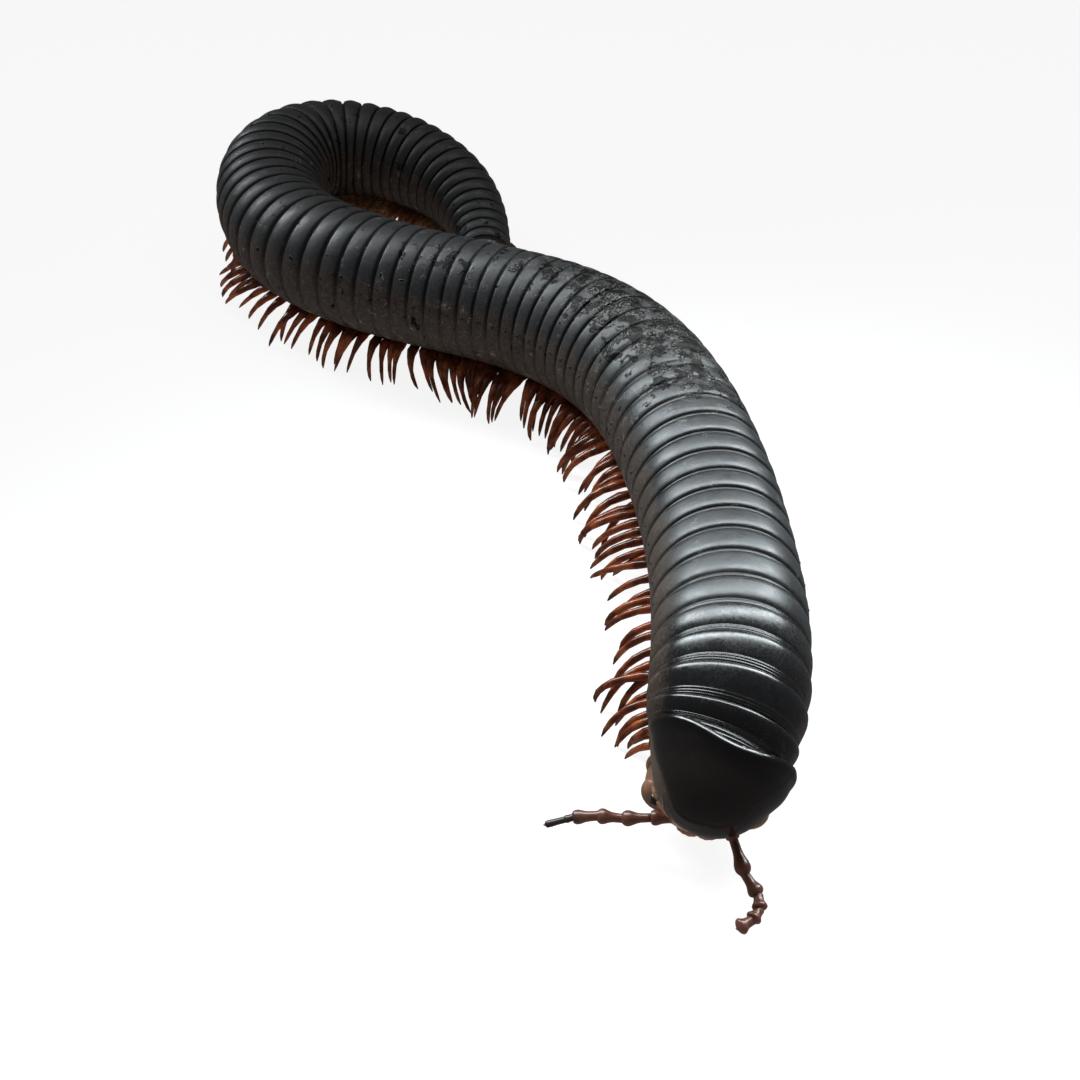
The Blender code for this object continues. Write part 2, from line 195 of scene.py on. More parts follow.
FLANK_HIGH, FLANK_LOW = 0.37, 0.58  # share of the way round from back to belly where the grooves fade
FLANK_KEEP, FLANK_FOLDS = 0.30, 0.45  # what is left of the relief below, and how much more in the loop
BULGE, BULGE_FROM, BULGE_TO = 0.24, 118.0, 150.0  # the rings of the loop stand out like the folds of a bellows
ROLL, ROLL_FADE = 0.065, 60.0  # the front of the body is rolled to its left by this share of half a turn
SATIN_FROM, SATIN_TO = 4.0, 24.0  # the polish of the first rings gives way to satin between these
DULL_FROM, DULL_TO = 50.0, 95.0  # and the satin to a duller finish
BROWN_FRONT, BROWN_REAR = 0.08, 0.05  # how much nearer the back the flank's colour begins
SCUFFED, SCUFF_REACH = 79.0, 28.0  # the rings that carry the most wear
SCUFF_ENDS, SCUFF_FULL = 0.38, 0.04  # which fades out down the right side, by share of half a turn
SLANT, SLANT_FADE = 6.0, 7.0  # the first rings stand askew by so many degrees, their right side back


def trunk_round(work, s, height, along, before=0.0):
    """One round of the skin: a circle that is flat below the belly, with its relief fading on the lower flank."""
    point, tail, right, up = frame_at(s)
    size = girth(s)
    centre = (point - tail * before) * MM
    roll = ridge(s, ROLL, 0.0, ROLL_FADE)
    slant = Matrix.Rotation(-ridge(s, math.radians(SLANT), 0.0, SLANT_FADE), 4, up)
    axes = slant @ axes_matrix(right, up, tail)
    made = bmesh.ops.create_circle(work, segments=ROUND_SIDES, radius=size * MM,
                                   matrix=Matrix.Translation(centre) @ axes)
    marks = work.verts.layers.float
    around, satin, scuff = marks["around"], marks["satin"], marks["scuff"]
    for vert in made["verts"]:
        out = vert.co - centre
        turned = math.atan2(out.dot(right), out.dot(up)) / math.pi + roll
        share = abs(turned)
        keep = FLANK_KEEP + FLANK_FOLDS * smooth_step(BULGE_FROM, BULGE_TO, s)
        fade = 1.0 - (1.0 - keep) * smooth_step(FLANK_HIGH, FLANK_LOW, share)
        vert.co += out.normalized() * height * fade * MM
        drop = -BELLY * (size + height * fade) * MM - (vert.co - centre).dot(up)
        if drop > 0.0:
            vert.co += up * drop
        vert[around] = share + BROWN_REAR
        if turned > 0.0:
            shift = (BROWN_FRONT - BROWN_REAR) * smooth_step(DULL_TO, DULL_FROM, s)
            vert[around] += shift * smooth_step(0.0, 0.3, share)
        vert[marks["along"]] = along
        vert[satin] = smooth_step(SATIN_FROM, SATIN_TO, s) + smooth_step(DULL_FROM, DULL_TO, s)
        vert[scuff] = ridge(s, 1.0, SCUFFED, SCUFF_REACH) * smooth_step(SCUFF_ENDS, SCUFF_FULL, turned)
    return edges_of(made["verts"])


# a ring from its groove to its rear edge, as share of its length and height over the body's radius: the polished
# first rings, the plain ones behind them, and those from the middle of the body on
FRONT_RING = ((0.0, -0.52), (0.025, -0.44), (0.045, -0.40), (0.065, -0.405), (0.08, -0.48), (0.10, -0.39),
              (0.12, -0.35), (0.14, -0.355), (0.155, -0.43), (0.175, -0.35), (0.20, -0.30), (0.225, -0.305),
              (0.24, -0.38), (0.28, -0.29), (0.38, -0.175), (0.50, -0.03), (0.62, 0.10), (0.72, 0.185),
              (0.80, 0.22), (0.875, 0.19), (0.945, 0.05), (1.0, -0.48))
PLAIN_RING = ((0.0, -0.45), (0.02, -0.28), (0.035, -0.20), (0.05, -0.17), (0.06, -0.165), (0.075, -0.16),
              (0.09, -0.155), (0.105, -0.155), (0.12, -0.16), (0.13, -0.18), (0.14, -0.22), (0.15, -0.29),
              (0.16, -0.32), (0.175, -0.20), (0.20, -0.06), (0.26, 0.04), (0.40, 0.12), (0.60, 0.15),
              (0.80, 0.13), (0.92, 0.08), (0.98, -0.08), (1.0, -0.45))
REAR_RING = ((0.0, -0.48), (0.02, -0.45), (0.035, -0.41), (0.045, -0.42), (0.055, -0.44), (0.065, -0.38),
             (0.075, -0.33), (0.085, -0.32), (0.095, -0.34), (0.11, -0.18), (0.13, -0.06), (0.15, 0.01),
             (0.18, 0.05), (0.23, 0.08), (0.34, 0.11), (0.48, 0.12), (0.62, 0.12), (0.78, 0.10),
             (0.90, 0.06), (0.96, 0.00), (0.985, -0.13), (1.0, -0.48))
REAR_FROM, REAR_TO = 50.0, 92.0
LIKENESS_FADE = 3.6  # the first rings' own section fades out within so many rings
SWELL_VARIES, CREASE_VARIES, CREASE_MIDDLE, CREASE_FADE = 0.06, 0.13, 0.45, 12.0  # no ring is quite like the next
FOLDS = {4: 0.9, 8: 0.7, 12: 1.0}  # which places of the section are the fine folds, and how plain each is
# the first ring runs on under the collum in more folds: distance ahead of its groove, height
NECK_FOLDS = ((2.4, -1.2), (2.25, -0.75), (2.05, -0.62), (1.9, -0.60), (1.78, -0.70), (1.6, -0.56), (1.4, -0.55),
              (1.28, -0.65), (1.1, -0.50), (0.9, -0.49), (0.78, -0.60), (0.6, -0.46), (0.4, -0.45), (0.28, -0.56),
              (0.1, -0.45))
NECK_ASIDE, NECK_BEARS = 0.65, 0.9  # where it bears so far to the left, within so many mm
NECK_MARK = 0.2  # and has the finish of this place along a ring, part of the painted groove shade included


def ring_profile(s, likeness, swell, crease):
    """The lengthwise section of one ring, blended from the three kinds by where it is on the body."""
    rear = smooth_step(REAR_FROM, REAR_TO, s)
    swell += BULGE * smooth_step(BULGE_FROM, BULGE_TO, s)
    weights = (likeness, (1.0 - likeness) * (1.0 - rear), (1.0 - likeness) * rear)
    blended = []
    for place, kinds in enumerate(zip(FRONT_RING, PLAIN_RING, REAR_RING)):
        share = sum(weight * kind[0] for weight, kind in zip(weights, kinds))
        height = sum(weight * kind[1] for weight, kind in zip(weights, kinds))
        blended.append((share, height + swell * math.sin(math.pi * share) ** 2 - crease * FOLDS.get(place, 0.0)))
    return blended


def neck_rounds(work):
    """The front of the first ring, which slips under the collum."""
    rounds = []
    for before, height in NECK_FOLDS:
        edges = trunk_round(work, FIRST_GROOVE, height, NECK_MARK, before)
        leftward = frame_at(FIRST_GROOVE)[2] * -NECK_ASIDE * smooth_step(0.0, NECK_BEARS, before) * MM
        bmesh.ops.translate(work, verts=list({vert for edge in edges for vert in edge.verts}), vec=leftward)
        rounds.append(edges)
    return rounds


def new_finish(name):
    """A new material with its nodes, its links and its shader."""
    made = bpy.data.materials.new(name)
    made.use_nodes = True
    return made, made.node_tree.nodes, made.node_tree.links, made.node_tree.nodes["Principled BSDF"]


def mark(nodes, name):
    """Reads a mark of the mesh."""
    made = nodes.new("ShaderNodeAttribute")
    made.attribute_name = name
    return made.outputs["Fac"]


def grain(nodes, links, scale, detail=4.0, roughness=0.5):
    """Noise fixed to the animal, at so many waves to the metre."""
    place = nodes.new("ShaderNodeTexCoord")
    made = nodes.new("ShaderNodeTexNoise")
    made.inputs["Scale"].default_value = scale
    made.inputs["Detail"].default_value = detail
    made.inputs["Roughness"].default_value = roughness
    links.new(place.outputs["Object"], made.inputs["Vector"])
    return made.outputs["Fac"]


def spread(nodes, links, value, low, high, to_low=0.0, to_high=1.0):
    """Stretches a value from one range to another, smoothly and without leaving it."""
    made = nodes.new("ShaderNodeMapRange")
    made.interpolation_type = "SMOOTHSTEP"
    made.inputs["From Min"].default_value = low
    made.inputs["From Max"].default_value = high
    made.inputs["To Min"].default_value = to_low
    made.inputs["To Max"].default_value = to_high
    links.new(value, made.inputs["Value"])
    return made.outputs["Result"]


def sums(nodes, links, operation, first, second):
    """One step of arithmetic between two sockets or numbers."""
    made = nodes.new("ShaderNodeMath")
    made.operation = operation
    for number, value in enumerate((first, second)):
        if isinstance(value, float):
            made.inputs[number].default_value = value
        else:
            links.new(value, made.inputs[number])
    return made.outputs["Value"]


def tints(nodes, links, value, *stops):
    """A run of colours along a value."""
    made = nodes.new("ShaderNodeValToRGB")
    elements = made.color_ramp.elements
    for number, (position, color) in enumerate(stops):
        stop = elements[number] if number < 2 else elements.new(position)
        stop.position = position
        stop.color = (*color, 1.0)
    links.new(value, made.inputs["Fac"])
    return made.outputs["Color"]


def layered(nodes, links, share, under, over):
    """Lays one colour over another by a share."""
    made = nodes.new("ShaderNodeMix")
    made.data_type = "RGBA"
    links.new(share, made.inputs["Factor"])
    links.new(under, made.inputs["A"])
    links.new(over, made.inputs["B"])
    return made.outputs["Result"]


def raised(nodes, links, skin, height, strength, depth):
    """Gives the finish a relief too fine for the mesh."""
    made = nodes.new("ShaderNodeBump")
    made.inputs["Strength"].default_value = strength
    made.inputs["Distance"].default_value = depth
    links.new(height, made.inputs["Height"])
    links.new(made.outputs["Normal"], skin.inputs["Normal"])


def shell_material():
    made, nodes, links, skin = new_finish("black_cuticle")
    skin.inputs["IOR"].default_value = 1.52
    around, satin = mark(nodes, "around"), mark(nodes, "satin")
    cloudy = grain(nodes, links, 260.0, 6.0, 0.6)
    fine = grain(nodes, links, 2400.0, 5.0, 0.7)
    polished = tints(nodes, links, fine, (0.35, (0.0045, 0.0045, 0.005)), (0.70, (0.0085, 0.0085, 0.009)))
    dulled = tints(nodes, links, fine, (0.32, (0.012, 0.0127, 0.0135)), (0.72, (0.035, 0.037, 0.0395)))
    back = layered(nodes, links, satin, polished, dulled)
    earthy = tints(nodes, links, fine, (0.30, (0.012, 0.0075, 0.005)), (0.55, (0.042, 0.028, 0.020)),
                   (0.78, (0.125, 0.092, 0.070)))
    wander = sums(nodes, links, "ADD", around, sums(nodes, links, "MULTIPLY", cloudy, 0.16))
    flank = spread(nodes, links, wander, 0.44, 0.56)
    colour = layered(nodes, links, flank, back, earthy)
    # painted shade: the colour turns near black over the front folds and at the rear edge of every ring, either
    # side of each groove, and in the pore holes, less so down the flank
    uneven = spread(nodes, links, grain(nodes, links, 1500.0, 4.0, 0.7), 0.3, 0.7, -0.035, 0.035)
    edge = sums(nodes, links, "ADD", mark(nodes, "along"), uneven)
    groove_shade = tints(nodes, links, edge, (0.0, (1.0, 1.0, 1.0)), (0.27, (0.0, 0.0, 0.0)), (0.16, (1.0, 1.0, 1.0)),
                 (0.93, (0.0, 0.0, 0.0)), (0.985, (1.0, 1.0, 1.0)))
    # near black, for the painted groove shade and for the grime below
    dark = tints(nodes, links, fine, (0.3, (0.004, 0.003, 0.003)), (0.7, (0.010, 0.008, 0.007)))
    groove_shade = sums(nodes, links, "MULTIPLY", groove_shade, spread(nodes, links, around, 0.38, 0.56, 0.85, 0.15))
    colour = layered(nodes, links, groove_shade, colour, dark)
    # old grime blackens the worn rings in patches
    worn = sums(nodes, links, "ADD", grain(nodes, links, 330.0, 6.0, 0.65),
                sums(nodes, links, "MULTIPLY", mark(nodes, "scuff"), 0.20))
    grime = sums(nodes, links, "MULTIPLY", spread(nodes, links, worn, 0.62, 0.67),
                 spread(nodes, links, satin, 1.0, 1.15))
    colour = layered(nodes, links, grime, colour, dark)
    links.new(sums(nodes, links, "MULTIPLY", grime, 0.75), skin.inputs["Metallic"])
    # dust clings in specks, most on the scuffed rings
    patches = sums(nodes, links, "ADD", grain(nodes, links, 420.0, 3.0),
                   sums(nodes, links, "MULTIPLY", mark(nodes, "scuff"), 0.17))
    specks = sums(nodes, links, "MULTIPLY", spread(nodes, links, patches, 0.60, 0.70),
                  spread(nodes, links, grain(nodes, links, 3600.0, 3.0, 0.7), 0.50, 0.62))
    specks = sums(nodes, links, "MULTIPLY", specks, spread(nodes, links, satin, 0.6, 1.3, 0.25, 1.0))
    dust = tints(nodes, links, cloudy, (0.0, (0.14, 0.14, 0.135)), (1.0, (0.34, 0.33, 0.31)))
    colour = layered(nodes, links, sums(nodes, links, "MULTIPLY", specks, 0.75), colour, dust)
    links.new(colour, skin.inputs["Base Color"])
    # the polish fades rearwards and down the flank, and specks and grime change it where they lie
    shine = spread(nodes, links, satin, 0.0, 1.0, 0.20, 0.37)
    for more in (spread(nodes, links, satin, 1.0, 2.0, 0.0, 0.08),
                 spread(nodes, links, fine, 0.3, 0.7, -0.05, 0.07),
                 spread(nodes, links, cloudy, 0.35, 0.65, -0.04, 0.05),
                 spread(nodes, links, flank, 0.0, 1.0, 0.0, 0.22),
                 sums(nodes, links, "MULTIPLY", specks, 0.3),
                 sums(nodes, links, "MULTIPLY", grime, -0.22)):
        shine = sums(nodes, links, "ADD", shine, more)
    links.new(shine, skin.inputs["Roughness"])
    # fine lines run lengthwise low on the flank, and the whole surface is minutely pitted
    stripes = sums(nodes, links, "SINE", sums(nodes, links, "MULTIPLY", around, 520.0), 0.0)
    striae = sums(nodes, links, "MULTIPLY", stripes, spread(nodes, links, around, 0.42, 0.60, 0.0, 0.35))
    relief = sums(nodes, links, "MULTIPLY", sums(nodes, links, "ADD", striae, fine),
                  spread(nodes, links, satin, 0.0, 1.0, 0.2, 0.7))
    dents = sums(nodes, links, "MULTIPLY", grain(nodes, links, 650.0, 3.0),
                 spread(nodes, links, satin, 1.0, 1.6, 0.0, 1.8))
    lumps = sums(nodes, links, "MULTIPLY", grain(nodes, links, 1900.0, 4.0, 0.7),
                 sums(nodes, links, "MULTIPLY", grime, 7.0))
    relief = sums(nodes, links, "ADD", sums(nodes, links, "ADD", relief, dents), lumps)
    raised(nodes, links, skin, relief, 1.0, 0.000024)
    return made


PORE_FROM, PORE_AROUND, PORE_ALONG = 5, 0.43, 0.60  # ring, share of the way round, share of the ring's length
PORE, PORE_RIM, PORE_SIDES = 0.15, 0.27, 10
PORE_STANDS, RIM_HIGH, HOLE_OUT = 0.17, 0.08, 0.03


def pores(work, ring, span):
    """The opening of a defence gland on each side: a low rim round a flat disc painted dark as the shade of the
    hole.
    """
    s = starts[ring] + PORE_ALONG * span
    point, tail, right, up = frame_at(s)
    fade = 1.0 - (1.0 - FLANK_KEEP) * smooth_step(FLANK_HIGH, FLANK_LOW, PORE_AROUND)
    marks = work.verts.layers.float
    for side in (1, -1):
        out = up * math.cos(PORE_AROUND * math.pi) + right * math.sin(PORE_AROUND * math.pi) * side
        at = point + out * (girth(s) + PORE_STANDS * fade)
        axes = axes_matrix(tail, out.cross(tail), out)
        rim = bmesh.ops.create_cone(work, segments=PORE_SIDES, cap_ends=False, radius1=PORE_RIM * MM,
                                    radius2=PORE * MM, depth=RIM_HIGH * MM,
                                    matrix=Matrix.Translation(at * MM) @ axes)["verts"]
        hole = bmesh.ops.create_circle(work, segments=PORE_SIDES, cap_ends=True, radius=PORE * MM,
                                       matrix=Matrix.Translation((at + out * HOLE_OUT) * MM) @ axes)["verts"]
        for vert in list(rim) + list(hole):
            vert[marks["around"]] = 0.3
            vert[marks["along"]] = 0.5
            vert[marks["satin"]] = 0.5
        # painted shade: the hole's disc takes the near-black groove colour
        for vert in hole:
            vert[marks["along"]] = 0.0


black_cuticle = shell_material()
starts = grooves()
chance = random.Random(7)
ring_looks = []
for ring in range(len(starts) - 1):
    swell = SWELL_VARIES * (chance.random() - 0.5)
    crease = ridge(ring, (chance.random() - CREASE_MIDDLE) * CREASE_VARIES, 0.0, CREASE_FADE)
    ring_looks.append((ridge(ring, 1.0, 0.0, LIKENESS_FADE), swell, crease))
lengths = []
ring = 0
for number, count in enumerate(RINGS_PER_LENGTH, 1):
    last = len(starts) - 1 if number == len(RINGS_PER_LENGTH) else ring + count
    lengths.append((number, ring, last))
    ring = last
for number, first, last in lengths:
    work = new_work()
    rounds = neck_rounds(work) if first == 0 else []
    for ring in range(first, last):
        span = starts[ring + 1] - starts[ring]
        for share, height in ring_profile(starts[ring], *ring_looks[ring]):
            rounds.append(trunk_round(work, starts[ring] + share * span, height, share))
    close_tube(work, rounds)
    for ring in range(max(first, PORE_FROM), min(last, len(starts) - 1 - BARE_RINGS)):
        pores(work, ring, starts[ring + 1] - starts[ring])
    trunk = finished(work, f"trunk_rings_{number:02d}", black_cuticle)
    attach(trunk, "root")
    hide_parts(f"trunk_{number:02d}")

# ---- The legs. One pair on each of the first three rings and two on every other but the last two. A leg is
# one tube of red-brown cuticle that swells and narrows along its length, flattened fore and aft, arched out beside
# the flank and down to a dark claw, and the legs of a side swing in waves.
REACH_RIGHT = (12.5, 15.5, 15.3, 15.3, 14.0, 12.0, 12.3, 10.2, 10.6, 11.0, 10.2, 9.0, 8.5, 7.5, 6.0)
REACH_LEFT = (7.4, 8.6, 9.0, 9.8, 11.5, 12.0, 12.0, 11.5, 11.0, 10.5, 9.5, 9.0, 8.5, 7.0, 6.0)
reach_of = {1: natural_spline(REACH_RIGHT), -1: natural_spline(REACH_LEFT)}
LEAN = (0.0, -1.0, 0.5, 2.0, 0.5, 0.0, -1.5, -3.0, 4.0, 5.0, 3.0, 0.0, 0.0, 0.0, 0.0)  # of the tips, tailward
lean_of = natural_spline(LEAN)
LEG_ROOT_OUT, LEG_ROOT_SINK = 0.21, 1.2
LEG_PLACES = (0.25, 0.75)
ONE_PAIR_RINGS = 3
SWING, SWING_WAVE, WAVE_SHIFT, WAVE_LAG = 2.4, 17.0, 3.75, 3.0
CROWDING, ROOMY, INNER_SHARE, INNER_LONGER = 0.42, 1.35, 0.85, 0.30
SWAY, LEG_LENGTHS, CURLS = 0.9, (0.80, 1.05), (62.0, 98.0)  # how single legs differ
STEP_LIFT, TIP_CLEAR = 0.9, 0.06
GATHER, GATHER_WAVES = 0.95, ((5.3, 0.0, 1.0), (3.3, 1.0, 0.45))  # neighbours lean together in twos to fives
ARCH_START, ARCH_HIGH = 0.5, 0.60  # of the reach, and of the girth
KNEE, KNEE_SWING, KNEE_LIFT = 0.34, 0.3, 0.4  # its share of the leg, and its shares of the swing and the lift
INNER_FROM, INNER_TO = 0.028, 0.042  # how sharply the body curls, one over its radius in mm, round the inner legs
STOUT_GIRTH, SLIMMEST = 9.6, 0.85
CLOSED_FROM, CLOSED_TO, CLOSED, INNER_CLOSED = 45.0, 75.0, 0.60, 1.2  # behind these the thighs close up
LEG_SIDES = 6
# share of the way from root to tip, half width across the leg, half thickness along the body
LEG_ROUNDS = ((0.0, 0.60, 0.62), (0.17, 0.55, 0.58), (0.26, 0.68, 0.66), (0.36, 0.58, 0.56), (0.46, 0.68, 0.62),
              (0.56, 0.54, 0.48), (0.66, 0.58, 0.48), (0.75, 0.45, 0.38), (0.84, 0.44, 0.35), (0.93, 0.33, 0.26),
              (1.0, 0.10, 0.09))


def leg_place(s, side, count, sway, length, curl):
    """The leg's line from root to tip, how stout it is, and the body's run, from where it stands in the wave."""
    point, tail, right, up = frame_at(s)
    size = girth(s)
    out = right * side
    run = Vector((tail.x, tail.y, 0.0)).normalized()
    turn = math.radians(float(heading_of(s + 2.0) - heading_of(s - 2.0))) / 4.0
    closing = max(-turn * side, 1e-6)
    inner = smooth_step(INNER_FROM, INNER_TO, closing)
    reach = min(float(reach_of[side](s)) * length * (1.0 + INNER_LONGER * inner), INNER_SHARE / closing)
    space = float(pitch_of(s)) / 2.0 * max(0.3, 1.0 - closing * reach)
    phase = 2.0 * math.pi * (count + WAVE_SHIFT) / SWING_WAVE
    swing = min(SWING, CROWDING * space * SWING_WAVE / (2.0 * math.pi)) * math.sin(phase)
    for wave, shift, share in GATHER_WAVES:
        swing += GATHER * space * share * math.sin(2.0 * math.pi * count / wave + shift)
    swing += sway * min(1.0, space / ROOMY) + float(lean_of(s))
    lift = STEP_LIFT * max(0.0, math.cos(phase)) ** 2
    belly = point - up * BELLY * size
    ground = Vector((belly.x, belly.y, 0.0))
    root = belly + out * LEG_ROOT_OUT * size + up * LEG_ROOT_SINK
    knee = ARCH_HIGH * size + lift * KNEE_LIFT
    top = ground + out * ARCH_START * reach + run * swing * KNEE_SWING + HIGH * knee

    def line(share):
        if share < KNEE:
            part = share / KNEE
            rise = math.sin(part * math.pi / 2.0)
            return root.lerp(top, part) + HIGH * (top.z - root.z) * (rise - part)
        angle = (share - KNEE) / (1.0 - KNEE) * curl
        down = (math.cos(angle) - math.cos(curl)) / (1.0 - math.cos(curl))
        outward = math.sin(angle) / math.sin(min(curl, math.pi / 2.0))
        return (ground + out * reach * (ARCH_START + (1.0 - ARCH_START) * outward)
                + run * swing * (KNEE_SWING + (1.0 - KNEE_SWING) * (1.0 - down))
                + HIGH * (ARCH_HIGH * size * down + lift * (KNEE_LIFT + (1.0 - KNEE_LIFT) * (1.0 - down))))

    closed = CLOSED * smooth_step(CLOSED_FROM, CLOSED_TO, s) + INNER_CLOSED * inner
    return line, max(SLIMMEST, size / STOUT_GIRTH), closed, inner, run


def leg_mesh(line, stout, closed, inner, run):
    """One leg, round by round from root to claw."""
    work = new_work()
    along, satin = work.verts.layers.float["along"], work.verts.layers.float["satin"]
    rounds = []
    for share, wide, thick in LEG_ROUNDS:
        at = line(share)
        ahead = (line(min(1.0, share + 0.02)) - line(max(0.0, share - 0.02))).normalized()
        across = ahead.cross(run).normalized()
        thick *= 1.0 + closed * smooth_step(0.75 + 0.25 * inner, 0.50 + 0.2 * inner, share)
        axes = axes_matrix(across * wide * stout, across.cross(ahead) * thick * stout, ahead)
        lowest = HIGH * max(0.0, TIP_CLEAR - at.z)
        made = bmesh.ops.create_circle(work, segments=LEG_SIDES, radius=MM,
                                       matrix=Matrix.Translation((at + lowest) * MM) @ axes)
        for vert in made["verts"]:
            vert[along] = share
            vert[satin] = inner  # on a leg this mark tells the inner ones, painted paler with pale glints
        rounds.append(edges_of(made["verts"]))
    close_tube(work, rounds)
    for vert in work.verts:
        vert.co.z = max(vert.co.z, 0.0)
    made = bpy.data.meshes.new("leg")
    work.to_mesh(made)
    work.free()
    return made


def leg_material():
    made, nodes, links, skin = new_finish("leg_brown")
    skin.inputs["Roughness"].default_value = 0.18
    skin.inputs["IOR"].default_value = 1.5
    skin.inputs["Subsurface Weight"].default_value = 0.15
    skin.inputs["Subsurface Radius"].default_value = (0.0008, 0.0003, 0.0001)
    along, mottle = mark(nodes, "along"), grain(nodes, links, 420.0)
    # painted shade: the leg's colour is darkest at the root, where the legs crowd under the body, and brightest
    # past the middle; the dark claw at the tip is its own colour
    dark = tints(nodes, links, along, (0.10, (0.030, 0.007, 0.003)), (0.45, (0.075, 0.014, 0.005)),
                 (0.78, (0.085, 0.018, 0.006)), (0.93, (0.055, 0.014, 0.006)), (1.0, (0.016, 0.007, 0.005)))
    warm = tints(nodes, links, along, (0.10, (0.080, 0.017, 0.006)), (0.45, (0.270, 0.062, 0.020)),
                 (0.78, (0.300, 0.080, 0.026)), (0.93, (0.170, 0.050, 0.020)), (1.0, (0.030, 0.014, 0.009)))
    colour = layered(nodes, links, spread(nodes, links, mottle, 0.38, 0.66), dark, warm)
    # painted light: inside the loop, where the body shades them, the legs are painted paler, with pale freckles
    # standing in for glints
    painted_glints = tints(nodes, links, grain(nodes, links, 1700.0), (0.38, (0.30, 0.11, 0.05)),
                     (0.70, (0.72, 0.42, 0.23)))
    colour = layered(nodes, links, mark(nodes, "satin"), colour, painted_glints)
    links.new(colour, skin.inputs["Base Color"])
    return made


leg_brown = leg_material()
step = 0
for number, first, last in lengths:
    work = new_work()
    for ring in range(first, min(last, len(starts) - 1 - BARE_RINGS)):
        span = starts[ring + 1] - starts[ring]
        for place in (0.5,) if ring < ONE_PAIR_RINGS else LEG_PLACES:
            for side, lag in ((1, 0.0), (-1, WAVE_LAG)):
                sway, length = chance.uniform(-SWAY, SWAY), chance.uniform(*LEG_LENGTHS)
                curl = math.radians(chance.uniform(*CURLS))
                mesh = leg_mesh(*leg_place(starts[ring] + place * span, side, step + lag, sway, length, curl))
                work.from_mesh(mesh)
                bpy.data.meshes.remove(mesh)
            step += 1
    legs = finished(work, f"legs_{number:02d}", leg_brown)
    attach(legs, "root")
    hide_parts(f"trunk_{number:02d}")

# ---- The collum. The legless first plate is a deep hood of polished black cuticle over the back of the head. Its
# rear edge is rolled and drawn forward left of the middle, grooves run beside its thin, paler lower margin, and
# soft skin beneath ties it to the head and the first ring.
HEAD_TURN = 15.4
DOME_MIDDLE, DOME = (-0.3, -0.65, 0.1), (11.1, 8.65, 8.95)  # forward, to the right and up
BROW_TILT, BROW_POINT = 14.0, (8.0, -6.1)  # the plane of the lower margin, below which the head is seen
neck, neck_tail = frame_at(FIRST_GROOVE)[:2]
ahead = Vector((-math.sin(math.radians(HEAD_TURN)), -math.cos(math.radians(HEAD_TURN)), 0.0))
aside = Vector((-math.cos(math.radians(HEAD_TURN)), math.sin(math.radians(HEAD_TURN)), 0.0))
brow_normal = ahead * math.sin(math.radians(BROW_TILT)) + HIGH * math.cos(math.radians(BROW_TILT))


def head_place(forward, right, high):
    """A place of the head, measured forward, to the right and up from the middle of the collum's rear edge."""
    return neck + ahead * forward + aside * right + HIGH * high


def head_matrix(middle, size):
    """A unit sphere with its poles fore and aft becomes a lobe of the head."""
    axes = axes_matrix(aside * size[1], HIGH * size[2], -ahead * size[0])
    return Matrix.Translation(head_place(*middle) * MM) @ Matrix.Scale(MM, 4) @ axes


def cut(work, point, normal, clear=False):
    """Cuts along a plane, and takes away what lies on its outer side when asked, closing the hole."""
    found = bmesh.ops.bisect_plane(work, geom=work.verts[:] + work.edges[:] + work.faces[:], plane_co=point * MM,
                                   plane_no=normal, dist=1e-8, clear_outer=clear)
    rim = [part for part in found["geom_cut"] if isinstance(part, bmesh.types.BMEdge)]
    if clear:
        bmesh.ops.contextual_create(work, geom=rim)
    return rim


brow = head_place(BROW_POINT[0], 0.0, BROW_POINT[1])
EDGE_LIPS = (0.3, 0.5, 0.7, 0.9, 1.15, 1.4, 1.7)  # distances from the rear edge, and from the lower margin
MARGIN_LIPS = (0.5, 0.75, 0.9, 1.05, 1.3)
# height of the groove that runs above the lower margin, by how far it is from the middle
GROOVE_OUT = (0.0, 2.1, 3.3, 4.2, 5.0, 5.9, 6.6, 8.6)
GROOVE_HIGH = (-0.15, -0.30, 0.15, 1.35, 2.0, 2.35, 2.5, 2.2)
SAG, SAG_FROM, SAG_TO = 0.5, 4.5, 10.0  # the hood falls away a little behind its rear crest
# ridges and, with a minus, grooves: height, distance from the rear edge, the margin or the groove's line, width
REAR_ROLL = (0.29, 0.72, 0.66)
MARGIN_RIDGES = ((0.10, 0.4, 0.35), (-0.14, 0.9, 0.16))
GROOVE_RIDGES = ((-0.13, 0.0, 0.20), (0.07, -0.55, 0.30), (-0.06, -1.7, 0.18))
RIGHT_FROM, RIGHT_TO, LEFT_KEEPS = -3.0, 3.5, 0.3  # the grooves are fainter on the left
# how far the rear edge is drawn forward, every 3 mm from 9 mm left of the middle to 9 mm right of it
EDGE_LEFT, EDGE_STEP = 9.0, 3.0
EDGE_DRAWN = (-0.2, 1.1, 1.75, 1.3, 0.2, -0.6, -0.85)
edge_drawn = natural_spline(EDGE_DRAWN)
DRAWN_FROM, DRAWN_TO = 5.0, 0.3  # distances from the rear edge between which this grows in full
EDGE_WALL = 1.1  # how far the rear edge turns in under the hood
SHOULDER = (0.5, 3.4, 2.4)  # the left side swells behind the cheek: height, distance from the rear edge, width
SHOULDER_FROM, SHOULDER_TO = 3.0, 6.5
work = new_work()
bmesh.ops.create_uvsphere(work, u_segments=200, v_segments=132, radius=1.0, matrix=head_matrix(DOME_MIDDLE, DOME))
for distance in EDGE_LIPS:
    cut(work, neck - neck_tail * distance, neck_tail)
for distance in MARGIN_LIPS:
    cut(work, brow + brow_normal * distance, brow_normal)
cut(work, neck - neck_tail * 0.1, neck_tail, clear=True)
back = max(work.faces, key=lambda face: face.calc_area())
bmesh.ops.inset_region(work, faces=[back], thickness=EDGE_WALL * MM, use_even_offset=False)
cut(work, brow + brow_normal * 0.12, -brow_normal, clear=True)
marks = work.verts.layers.float
middle = head_place(*DOME_MIDDLE)
